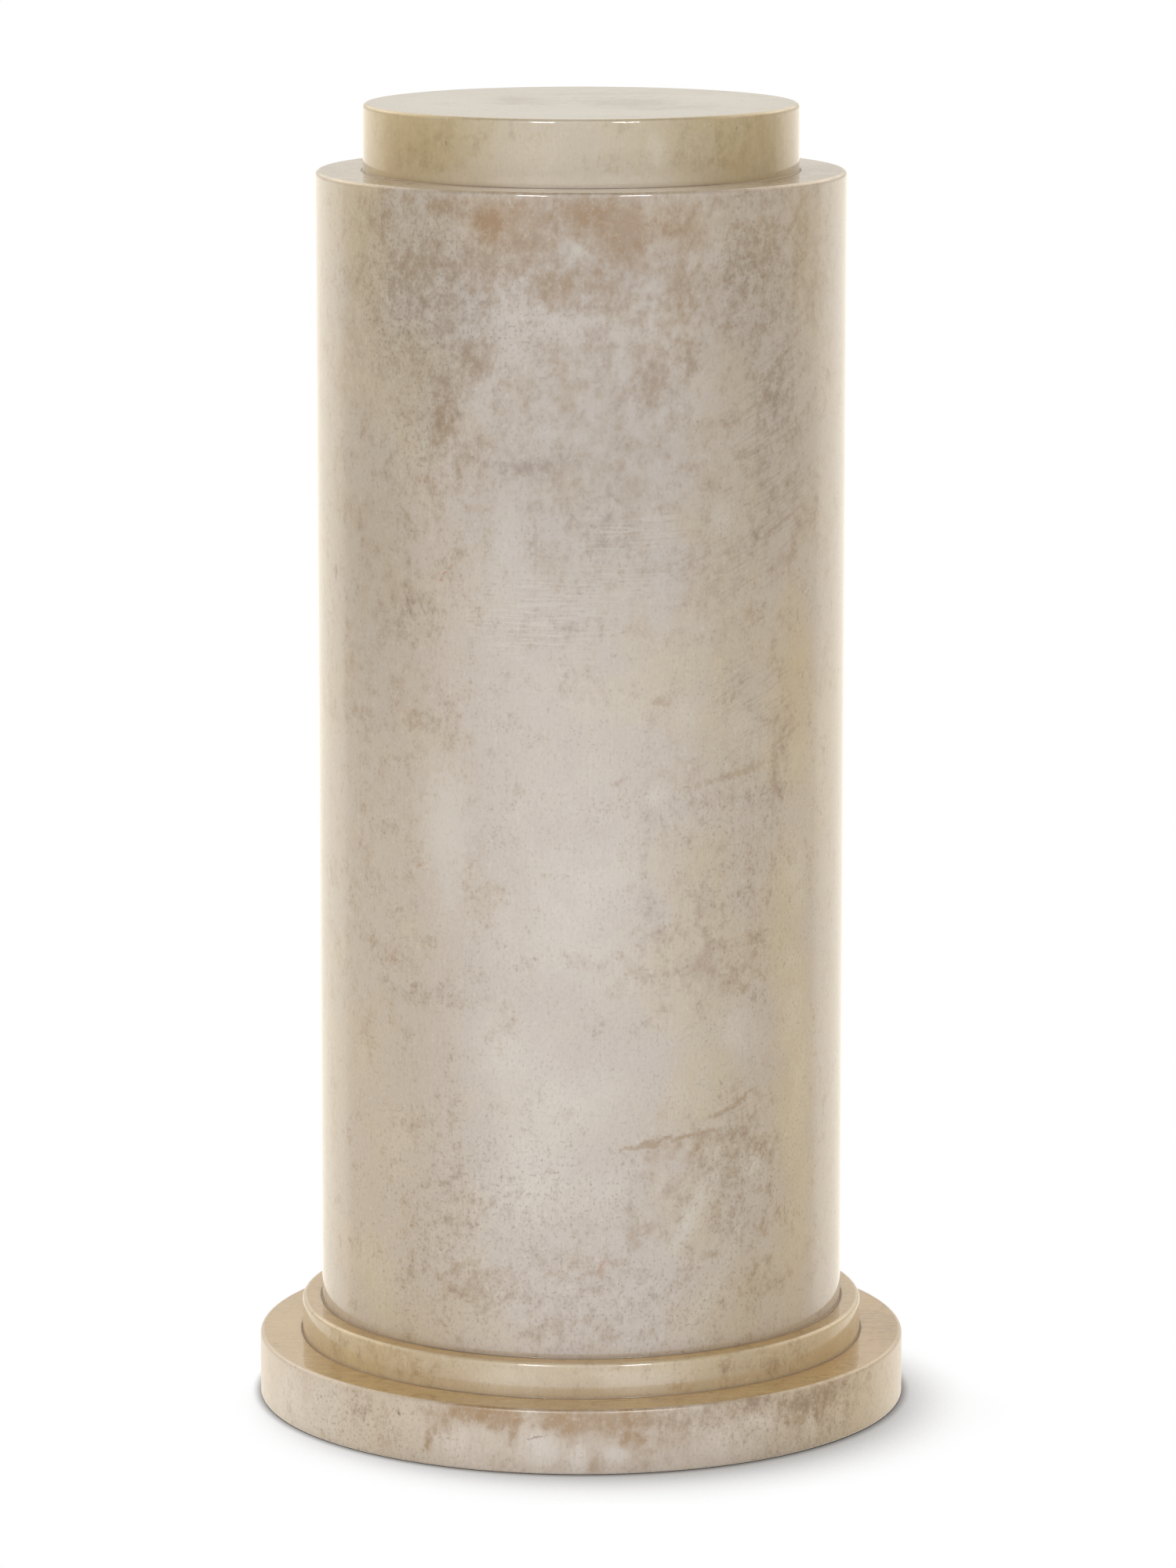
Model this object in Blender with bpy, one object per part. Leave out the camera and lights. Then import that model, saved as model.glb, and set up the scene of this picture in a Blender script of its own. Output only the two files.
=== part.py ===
"""A round display pedestal covered in lacquered goatskin: four turned drums stacked on one axis.

From the floor up they are the plinth, the base step, the shaft and the cap. Every rim is eased,
because a skin can't be drawn over a sharp arris, and each drum rests flat on the one below.
Units are metres and +Z is up. The origin is the centre of the underside, and -Y is the front.
"""

import bpy
import bmesh
from mathutils import Matrix

# Heights of the four drums
PLINTH_HEIGHT = 0.045
STEP_HEIGHT = 0.024
SHAFT_HEIGHT = 0.798
CAP_HEIGHT = 0.046

# The shaft sets the width, and each ledge is measured out or in from its neighbour's side
SHAFT_DIAMETER = 0.368
STEP_PROJECTION = 0.014
PLINTH_PROJECTION = 0.030
CAP_SETBACK = 0.033

# Radius of the eased rims: the upper one shows, the lower one makes the shadow line of a joint
UPPER_EASE = 0.0030
LOWER_EASE = 0.0012

# Gap between the two skins where one drum rests on another
SEAT_GAP = 0.0003

SIDES = 120
EASE_SEGMENTS = 3
CREASE_ANGLE = 0.6

SKIN_ROUGHNESS = 0.22

shaft_radius = SHAFT_DIAMETER / 2
step_radius = shaft_radius + STEP_PROJECTION
plinth_radius = step_radius + PLINTH_PROJECTION
cap_radius = shaft_radius - CAP_SETBACK


def clear_scene():
    for obj in list(bpy.data.objects):
        bpy.data.objects.remove(obj, do_unlink=True)


def skin_material(name, colour):
    """Goatskin under lacquer, in one plain colour."""
    material = bpy.data.materials.new(name)
    material.use_nodes = True
    shader = material.node_tree.nodes["Principled BSDF"]
    shader.inputs["Base Color"].default_value = (*colour, 1.0)
    shader.inputs["Roughness"].default_value = SKIN_ROUGHNESS
    shader.inputs["Metallic"].default_value = 0.0
    return material


def rim_edges(bm, height):
    """The edges of the flat end that lies at this height."""
    return [
        edge
        for edge in bm.edges
        if all(abs(vertex.co.z - height) < LOWER_EASE / 10 for vertex in edge.verts)
    ]


def ease_rim(bm, height, radius):
    """Rounds the rim at this height to the given radius."""
    bmesh.ops.bevel(
        bm,
        geom=rim_edges(bm, height),
        offset=radius,
        offset_type="OFFSET",
        segments=EASE_SEGMENTS,
        profile=0.5,
        affect="EDGES",
    )


def drum(name, radius, height, base, material):
    """A closed round drum from base up, with both rims eased."""
    bm = bmesh.new()
    bmesh.ops.create_cone(
        bm,
        cap_ends=True,
        cap_tris=False,
        segments=SIDES,
        radius1=radius,
        radius2=radius,
        depth=height,
        matrix=Matrix.Translation((0.0, 0.0, height / 2)),
    )
    ease_rim(bm, height, UPPER_EASE)
    ease_rim(bm, 0.0, LOWER_EASE)
    mesh = bpy.data.meshes.new(name)
    bm.to_mesh(mesh)
    bm.free()
    mesh.materials.append(material)
    mesh.shade_smooth()
    mesh.set_sharp_from_angle(angle=CREASE_ANGLE)
    obj = bpy.data.objects.new(name, mesh)
    obj.location = (0.0, 0.0, base)
    bpy.context.scene.collection.objects.link(obj)
    return obj


def build():
    clear_scene()
    drums = (
        ("plinth", plinth_radius, PLINTH_HEIGHT, (0.52, 0.41, 0.31)),
        ("base_step", step_radius, STEP_HEIGHT, (0.55, 0.44, 0.30)),
        ("shaft", shaft_radius, SHAFT_HEIGHT, (0.53, 0.44, 0.34)),
        ("cap", cap_radius, CAP_HEIGHT, (0.54, 0.45, 0.32)),
    )
    base = 0.0
    for name, radius, height, colour in drums:
        drum(name, radius, height, base, skin_material(name + "_skin", colour))
        base += height + SEAT_GAP


build()
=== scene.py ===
# %% [markdown]
# # A goatskin pedestal
# The object is a display pedestal: four round drums stacked on one axis, each covered in goatskin
# parchment and then lacquered to a deep gloss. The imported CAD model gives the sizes. This lesson
# dresses it: every drum is turned again as a finer surface with eased rims, a slight swell and
# skin joints, and gets a material that is built up the way the real skin is, layer by layer.

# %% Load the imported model
import math

import bpy
import numpy as np
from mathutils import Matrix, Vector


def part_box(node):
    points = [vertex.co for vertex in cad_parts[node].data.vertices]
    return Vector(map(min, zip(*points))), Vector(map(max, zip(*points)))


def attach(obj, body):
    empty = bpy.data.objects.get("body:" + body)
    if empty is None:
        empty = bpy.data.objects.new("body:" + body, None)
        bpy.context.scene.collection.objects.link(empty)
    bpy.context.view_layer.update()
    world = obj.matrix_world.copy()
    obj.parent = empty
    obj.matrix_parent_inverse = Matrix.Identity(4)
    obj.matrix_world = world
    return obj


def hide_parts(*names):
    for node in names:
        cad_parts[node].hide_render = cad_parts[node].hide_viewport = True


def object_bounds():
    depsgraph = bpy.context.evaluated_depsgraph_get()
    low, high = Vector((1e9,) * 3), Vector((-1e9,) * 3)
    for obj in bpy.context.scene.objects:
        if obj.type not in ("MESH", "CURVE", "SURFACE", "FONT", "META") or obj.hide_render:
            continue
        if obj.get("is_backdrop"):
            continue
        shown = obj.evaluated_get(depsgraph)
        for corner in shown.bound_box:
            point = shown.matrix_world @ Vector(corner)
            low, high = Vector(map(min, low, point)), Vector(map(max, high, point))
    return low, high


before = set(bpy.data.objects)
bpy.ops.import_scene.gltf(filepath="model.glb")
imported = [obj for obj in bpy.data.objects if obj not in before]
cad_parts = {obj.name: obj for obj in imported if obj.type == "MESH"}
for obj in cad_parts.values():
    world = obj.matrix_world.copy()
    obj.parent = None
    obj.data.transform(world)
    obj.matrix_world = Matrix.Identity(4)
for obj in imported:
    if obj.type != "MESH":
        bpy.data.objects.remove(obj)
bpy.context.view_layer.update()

# %% [markdown]
# ## Camera
# A long lens a few metres away keeps the drum's sides nearly upright, as product photographers
# like them. The place and the lens come from the outline in the photograph: the ellipses of the
# rims open more and more towards the floor, and that gives the height and the distance. The small
# shift moves the picture as a view camera's back does, so that nothing has to lean.

# %% Camera
camera_data = bpy.data.cameras.new("camera")
camera_data.sensor_width = 36.0
camera_data.lens = 152.8
camera_data.shift_x = 0.00435
camera_data.shift_y = -0.0401
camera_data.clip_end = 60.0
camera = bpy.data.objects.new("camera", camera_data)
camera.location = (0.0, -4.600, 1.262)
camera.rotation_euler = (math.radians(90.0 - 9.64), 0.0, 0.0)
bpy.context.scene.collection.objects.link(camera)
bpy.context.scene.camera = camera
print("camera", tuple(camera.location), "lens in mm", camera_data.lens)

# %% [markdown]
# ## Small tools for materials
# A colour is easiest to read as the hex code that a paint program shows. Blender wants it linear,
# so one function turns it. Another adds a node with its settings and links, and nearly every
# material below is made with that one alone.

# %% Colour and node helpers
def linear(code):
    """sRGB hex to linear RGBA: each channel under 0.04045 is divided by 12.92, and any other is
    raised to the power 2.4 after adding 0.055 and dividing by 1.055."""
    channels = np.array([int(code[i:i + 2], 16) for i in (0, 2, 4)]) / 255
    low, high = channels / 12.92, ((channels + 0.055) / 1.055) ** 2.4
    return (*np.where(channels <= 0.04045, low, high).tolist(), 1.0)


def add(tree, kind, inputs=None, **settings):
    """Adds one node. inputs gives values or sockets to link, by the input's name or number."""
    new = tree.nodes.new("ShaderNode" + kind)
    for name, value in settings.items():
        setattr(new, name, value)
    for key, value in (inputs or {}).items():
        if isinstance(value, bpy.types.NodeSocket):
            tree.links.new(value, new.inputs[key])
        else:
            new.inputs[key].default_value = value
    return new


# A colour Mix node's factor, first and second colour are these inputs, and its result this output
FACTOR, FIRST, SECOND, MIXED = 0, 6, 7, 2

# %% [markdown]
# ## Studio
# Lacquer is a mirror, so what stands round the object matters as much as the lamps. In the
# photograph the white backdrop shows as a bright strip down each side of the drums, the duller
# sides of the studio as the darker bands next to the strips, and the bright front as a cool veil
# down the middle. The world below paints that room by compass direction, for mirror rays only.
# Warm bright zones high in its two back corners give the rims and the discs their lights. Rays
# that light the skin meet an even fill, as from large white walls, and the camera itself sees
# plain white. The colours come out as they are set, with the Standard view.

# %% World
scene = bpy.context.scene
scene.view_settings.view_transform = "Standard"
scene.view_settings.look = "None"

SWEEP_GLOW = 1.25
WALL_GLOW = 0.84
HIGH_GLOW = 0.50
CORNER_GLOW = 1.5
SIDE_GLOW = 0.80
FRONT_GLOW = 2.2
FILL_LOW, FILL_HIGH = 0.88, 0.42

# Where each glow starts to change and where it has changed: first turns in degrees, 0 towards
# the backdrop and 180 towards the camera, then heights, as the Z of the way that a ray goes
BACKDROP_EDGE = (50, 60)
CORNER_START, CORNER_END = (14, 30), (88, 100)
FRONT_START = (98, 158)
HORIZON = (-0.03, 0.04)
HIGH_WALL = (0.10, 0.24)
CORNER_FOOT, CORNER_HEAD = (0.28, 0.40), (0.70, 0.85)
FILL_HEIGHTS = (0.1, 0.9)

world = bpy.data.worlds.new("photo_studio")
world.use_nodes = True
scene.world = world
room = world.node_tree
room.nodes.clear()
towards = add(room, "TexCoord").outputs["Generated"]
axes = add(room, "SeparateXYZ", {0: towards}).outputs
side = add(room, "Math", {0: axes["X"]}, operation="ABSOLUTE").outputs[0]
turn = add(room, "Math", {0: side, 1: axes["Y"]}, operation="ARCTAN2").outputs[0]


def zone(value, edge, low, high):
    """A glow that goes smoothly from low where the edge starts to high where it ends."""
    return add(room, "MapRange", {"Value": value, 1: edge[0], 2: edge[1], 3: low, 4: high},
               interpolation_type="SMOOTHSTEP").outputs["Result"]


def join(operation, first, *others):
    """Adds or multiplies glows."""
    for other in others:
        first = add(room, "Math", {0: first, 1: other}, operation=operation).outputs[0]
    return first


# The paper sweep lies below the horizon and the backdrop's wall above it
behind = zone(turn, np.radians(BACKDROP_EDGE), 1.0, 0.0)
beside = zone(turn, np.radians(BACKDROP_EDGE), 0.0, SIDE_GLOW)
wall = zone(axes["Z"], HORIZON, SWEEP_GLOW, WALL_GLOW)
low_glow = join("ADD", join("MULTIPLY", behind, wall), beside)
high_glow = join("MULTIPLY", behind, zone(axes["Z"], HIGH_WALL, 0.0, HIGH_GLOW))
corners = join("MULTIPLY", zone(turn, np.radians(CORNER_START), 0.0, CORNER_GLOW),
               zone(turn, np.radians(CORNER_END), 1.0, 0.0),
               zone(axes["Z"], CORNER_FOOT, 0.0, 1.0), zone(axes["Z"], CORNER_HEAD, 1.0, 0.0))
front = zone(turn, np.radians(FRONT_START), 0.0, FRONT_GLOW)
mirrored = None
for tone, glow in (("FFF9EE", low_glow), ("FFEFD8", join("ADD", high_glow, corners)),
                   ("DCE8FF", front)):
    shine = add(room, "Background", {"Color": linear(tone), "Strength": glow}).outputs[0]
    mirrored = add(room, "AddShader", {0: mirrored, 1: shine}).outputs[0] if mirrored else shine
fill = add(room, "Background", {"Color": linear("FFFEFC"),
                                "Strength": zone(axes["Z"], FILL_HEIGHTS, FILL_LOW, FILL_HIGH)})
paper = add(room, "Background", {"Color": linear("FFFFFF"), "Strength": 1.0})
rays = add(room, "LightPath").outputs
lit = add(room, "MixShader", {0: rays["Is Glossy Ray"], 1: fill.outputs[0], 2: mirrored})
all_rays = add(room, "MixShader", {0: rays["Is Camera Ray"], 1: lit.outputs[0],
                                   2: paper.outputs[0]})
add(room, "OutputWorld", {"Surface": all_rays.outputs[0]})
print("world: sweep", SWEEP_GLOW, "sides", SIDE_GLOW, "front", FRONT_GLOW)

# %% [markdown]
# Two soft boxes stand in front, one to each side and above the pedestal. They show in mirrors
# only, as the short glints on the front of every rim, because the even fill lights the skin
# already. The window is the other way round. It is a large soft lamp on the left that lights
# the skin on that side a little more, and no mirror shows it.

# %% Soft boxes
BOX_AWAY = 3.0
AIM_HEIGHT = 0.50
BOXES = (("left_box", -21.0, 33.0, 36.0, 0.60, 0.40, True),
         ("right_box", 24.0, 33.0, 36.0, 0.60, 0.40, True),
         ("left_window", -68.0, 16.0, 12.0, 1.60, 1.60, False))

for name, around, above, watts, wide, tall, mirrored_only in BOXES:
    lamp = bpy.data.lights.new(name, "AREA")
    lamp.shape = "RECTANGLE"
    lamp.size = wide
    lamp.size_y = tall
    lamp.energy = watts
    box = bpy.data.objects.new(name, lamp)
    a, e = math.radians(around), math.radians(above)
    away = np.array([math.sin(a) * math.cos(e), -math.cos(a) * math.cos(e), math.sin(e)])
    box.location = BOX_AWAY * away + (0.0, 0.0, AIM_HEIGHT)
    box.rotation_euler = (math.pi / 2 - e, 0.0, a)
    box.visible_camera = False
    box.visible_diffuse = not mirrored_only
    box.visible_glossy = mirrored_only
    scene.collection.objects.link(box)
    print(name, "at", [round(float(c), 2) for c in box.location])

# %% [markdown]
# The floor is the white paper that the pedestal stands on. It shines by itself, so that it runs
# into the white behind without a horizon. Its shadow is ambient occlusion that leans towards the
# light: each point looks that way, and the more of the pedestal it meets within a hand's breadth
# the darker it gets. A second look, of about a centimetre, gives the thin dark line where the
# plinth stands. Mirror rays pass through the floor, as the painted room has the paper in it.

# %% Floor
FLOOR_HALF = 14.0
FLOOR_DROP = 0.0002
SHADOW_REACH = 0.12
CONTACT_REACH = 0.010
LIGHT_FROM = (-0.54, 0.95, 1.0)

floor_mesh = bpy.data.meshes.new("floor")
floor_mesh.from_pydata([(x, y, -FLOOR_DROP) for x, y in
                        ((-FLOOR_HALF, -FLOOR_HALF), (FLOOR_HALF, -FLOOR_HALF),
                         (FLOOR_HALF, FLOOR_HALF), (-FLOOR_HALF, FLOOR_HALF))],
                       [], [(0, 1, 2, 3)])
floor = bpy.data.objects.new("floor", floor_mesh)
scene.collection.objects.link(floor)
floor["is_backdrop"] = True
floor.visible_glossy = False
paper_material = bpy.data.materials.new("white_paper_sweep")
paper_material.use_nodes = True
sheet = paper_material.node_tree
sheet.nodes.clear()


def floor_shade(sky, covered, clear, darkest):
    """Brightness from the share of sky that a point sees: darkest at covered and under, 1 at
    clear and over, and a straight line between."""
    return add(sheet, "MapRange", {"Value": sky, 1: covered, 2: clear, 3: darkest, 4: 1.0},
               interpolation_type="LINEAR").outputs["Result"]


way = add(sheet, "CombineXYZ", dict(enumerate(LIGHT_FROM))).outputs[0]
way = add(sheet, "VectorMath", {0: way}, operation="NORMALIZE").outputs[0]
open_sky = add(sheet, "AmbientOcclusion", {"Distance": SHADOW_REACH, "Normal": way},
               samples=16).outputs["AO"]
close_sky = add(sheet, "AmbientOcclusion", {"Distance": CONTACT_REACH}, samples=8).outputs["AO"]
shade = add(sheet, "Math", {0: floor_shade(open_sky, covered=0.10, clear=0.80, darkest=0.16),
                            1: floor_shade(close_sky, covered=0.35, clear=0.85, darkest=0.20)},
            operation="MULTIPLY").outputs[0]
# Painted warm light in the shadow, as if bounced from the cream plinth
shadow_bounce_tint = add(sheet, "Mix", {FACTOR: shade, FIRST: linear("F4ECE4"), SECOND: linear("FFFFFF")},
           data_type="RGBA").outputs[MIXED]
glow = add(sheet, "Emission", {"Color": shadow_bounce_tint, "Strength": shade}).outputs[0]
add(sheet, "OutputMaterial", {"Surface": glow})
floor_mesh.materials.append(paper_material)
print("floor", 2 * FLOOR_HALF, "m square")

# %% [markdown]
# ## The shape of a drum
# On a lathe the section is cut once and the wood turns past it. The surface here is made the same
# way: a half-section is a list of points from the middle of the underside, out, up the side and
# back in to the middle of the top, and it is carried round the axis. The rims are quarter circles,
# because skin can't be drawn over a sharp edge, and where a drum sits on another the lacquer has
# filled the corner with a small hollow bead. Each row of the section also keeps its outward
# direction, which the swell below needs, and says which of the drum's skins it lies on.

# %% Half-section
UPPER_EASE = 0.0030
LOWER_EASE = 0.0012
BEAD = 0.0005
SEAT_GAP = 0.0003
UNDER, SIDE, TOP = 0, 1, 2

# Rows: shares of the radius under the drum and below the next one, close steps up from the foot,
# how near to a rim its first flat row lies, and how much closer they are on top than on the side
UNDER_SHARES = np.array([0.2, 0.4, 0.6, 0.75, 0.86, 0.93, 0.97])
HIDDEN_SHARES = np.array([0.9, 0.6, 0.3])
FOOT_STEPS = np.array([0.0, 0.0007, 0.0015, 0.0024, 0.0036])
SIDE_START = 0.0020
RIM_HOLD = 0.0006
TOP_CLOSER = 1.6


def half_section(radius, low, high, cover, step, on_floor):
    """Rows of (radius, height, outward radial, outward up, skin).

    The underside and the top are straight and the side is upright. The rim is a quarter circle
    with the angle going from 0 to 90 degrees. So is the foot: it turns in under the plinth, and
    out over the drum below where lacquer has filled the corner. cover is the radius that the
    next drum hides, inside which the top needs few rows, and step is the space between rows."""
    def rows(r, z, out, up, skin):
        """Rows from numbers or arrays, one of each kind."""
        return np.stack(np.broadcast_arrays(np.asarray(r, float), z, out, up, float(skin)), -1)

    foot = np.radians(np.linspace(0, 90, 7))
    rim = np.radians(np.linspace(0, 90, 10))
    ledge = radius - UPPER_EASE
    if on_floor:
        toe, base, ease = radius - LOWER_EASE, low, LOWER_EASE
        foot_rows = rows(toe + ease * np.sin(foot), low + ease * (1 - np.cos(foot)),
                         np.sin(foot), -np.cos(foot), SIDE)
    else:
        toe, base, ease = radius + BEAD, low - SEAT_GAP, BEAD
        foot_rows = rows(toe - ease * np.sin(foot), base + ease * (1 - np.cos(foot)),
                         np.sin(foot), np.cos(foot), SIDE)
    close = base + ease + RIM_HOLD + FOOT_STEPS
    sides = np.linspace(close[-1] + SIDE_START, high - UPPER_EASE - RIM_HOLD,
                        max(2, round((high - low) / step)) + 1)
    visible = np.linspace(ledge - RIM_HOLD, cover,
                          max(2, round(TOP_CLOSER * (ledge - cover) / step)) + 1)
    return np.concatenate([
        rows(np.append(UNDER_SHARES * toe, toe - RIM_HOLD), base, 0.0, -1.0, UNDER),
        foot_rows,
        rows(np.full(close.size + sides.size, radius), np.append(close, sides), 1.0, 0.0, SIDE),
        rows(ledge + UPPER_EASE * np.cos(rim), high - UPPER_EASE * (1 - np.sin(rim)),
             np.cos(rim), np.sin(rim), SIDE),
        rows(np.append(visible, HIDDEN_SHARES * cover), high, 0.0, 1.0, TOP),
    ])


# %% [markdown]
# ## Where the skins meet
# One goatskin is about 0.8 m long and 0.6 m wide, so it can't go round a shaft whose girth is
# 1.16 m. Two skins are butted edge to edge instead. The photograph shows no joint on the whole
# near half, so the joints lie just past the two outlines, where a maker would hide them. Each is
# a hair-fine valley, so the angles of the turning get extra columns there.

# %% Angles round the drum
JOINT_TURN = math.radians(91.0)
JOINT_HALF = 0.0005
JOINT_DEPTH = 0.00012
JOINT_CLEAR = 2.5 * JOINT_HALF


def angles_round(radius, columns):
    """Angles from the front, in radians: even steps, with five close ones across each joint.
    They start at the left joint and not at the back, so that each skin's run is unbroken."""
    even = np.linspace(-math.pi, math.pi, columns, endpoint=False)
    across = np.array([-1.0, -0.5, 0.0, 0.5, 1.0]) * JOINT_HALF / radius
    joints = np.concatenate([across - JOINT_TURN, across + JOINT_TURN])
    clear = np.abs(np.abs(even) - JOINT_TURN) > JOINT_CLEAR / radius
    every = np.concatenate([even[clear], joints])
    return np.sort((every + JOINT_TURN) % (2 * math.pi)) - JOINT_TURN


# %% [markdown]
# ## The swell of the skin
# Skin dries tight over wood but never dead flat, and many coats of lacquer round off what is
# left. The surface rises and sinks by about a tenth of a millimetre over a hand's breadth, which
# nobody sees until a lamp or a straight backdrop edge is mirrored in it. Sine waves that run in
# many directions through space give it, and they join without a break over rims and round joints.

# %% Swell
SWELL_DEPTH = 0.00016
SWELL_GAIN = 1.6
WAVES = 26
shuffle = np.random.default_rng(11)
wave_lengths = shuffle.uniform(0.045, 0.190, WAVES)
wave_ways = shuffle.normal(size=(WAVES, 3))
wave_ways *= (2 * math.pi / wave_lengths / np.linalg.norm(wave_ways, axis=1))[:, None]
wave_starts = shuffle.uniform(0, 2 * math.pi, WAVES)


def swell(points):
    """How far the skin lies inside the drum's true surface: the mean of all the sine waves, each
    weighted by its length, moved and scaled to run from about 0 to SWELL_DEPTH."""
    waves = np.sin(points @ wave_ways.T + wave_starts) @ (wave_lengths / wave_lengths.sum())
    return SWELL_DEPTH * np.clip(0.5 + SWELL_GAIN * waves, 0, 1)


# %% [markdown]
# ## Marks on the skin
# A goat's hide has a history: rubbed places, stains, scars and patches where the hair grew
# thicker. The ones that an eye finds first are listed, in millimetres round the drum from
# the front and millimetres above the floor, or on a top to the right and to the back. Each is a
# soft oval: its middle, its half sizes, its strength and, where it leans, by how many degrees. The
# back isn't in the photograph, so a seeded shuffle scatters marks of the same kinds there. A mark
# is kept on the mesh as a number for each vertex, and the material roughens its edge with noise.

# %% Ovals
def ovals(marks, across, up):
    """Strength of the marks at each point: for each mark, the point's offset is turned by the
    lean, divided by the half sizes and squared, and the strength halves at distance one."""
    total = np.zeros(across.shape)
    for x, z, half_x, half_z, strength, *lean in marks:
        turned = math.radians(sum(lean))
        c, s = math.cos(turned), math.sin(turned)
        dx, dz = across - x, up - z
        far = ((c * dx + s * dz) / half_x) ** 2 + ((c * dz - s * dx) / half_z) ** 2
        total = np.maximum(total, strength * 0.5 ** far)
    return total


BACK_TURNS = (98, 262)


def scattered(seed, count, radius, low, high, sizes):
    """Marks for the unseen back: count ovals at random places, sizes, leans and strengths."""
    draw = np.random.default_rng(seed)
    turn_mm = radius * np.radians(draw.uniform(*BACK_TURNS, count))
    return [(x, z, w, w * h, s, lean) for x, z, w, h, lean, s in zip(
        turn_mm, draw.uniform(low, high, count), draw.uniform(*sizes, count),
        draw.uniform(0.5, 1.4, count), draw.uniform(-25, 25, count),
        draw.uniform(0.4, 0.9, count))]
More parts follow.
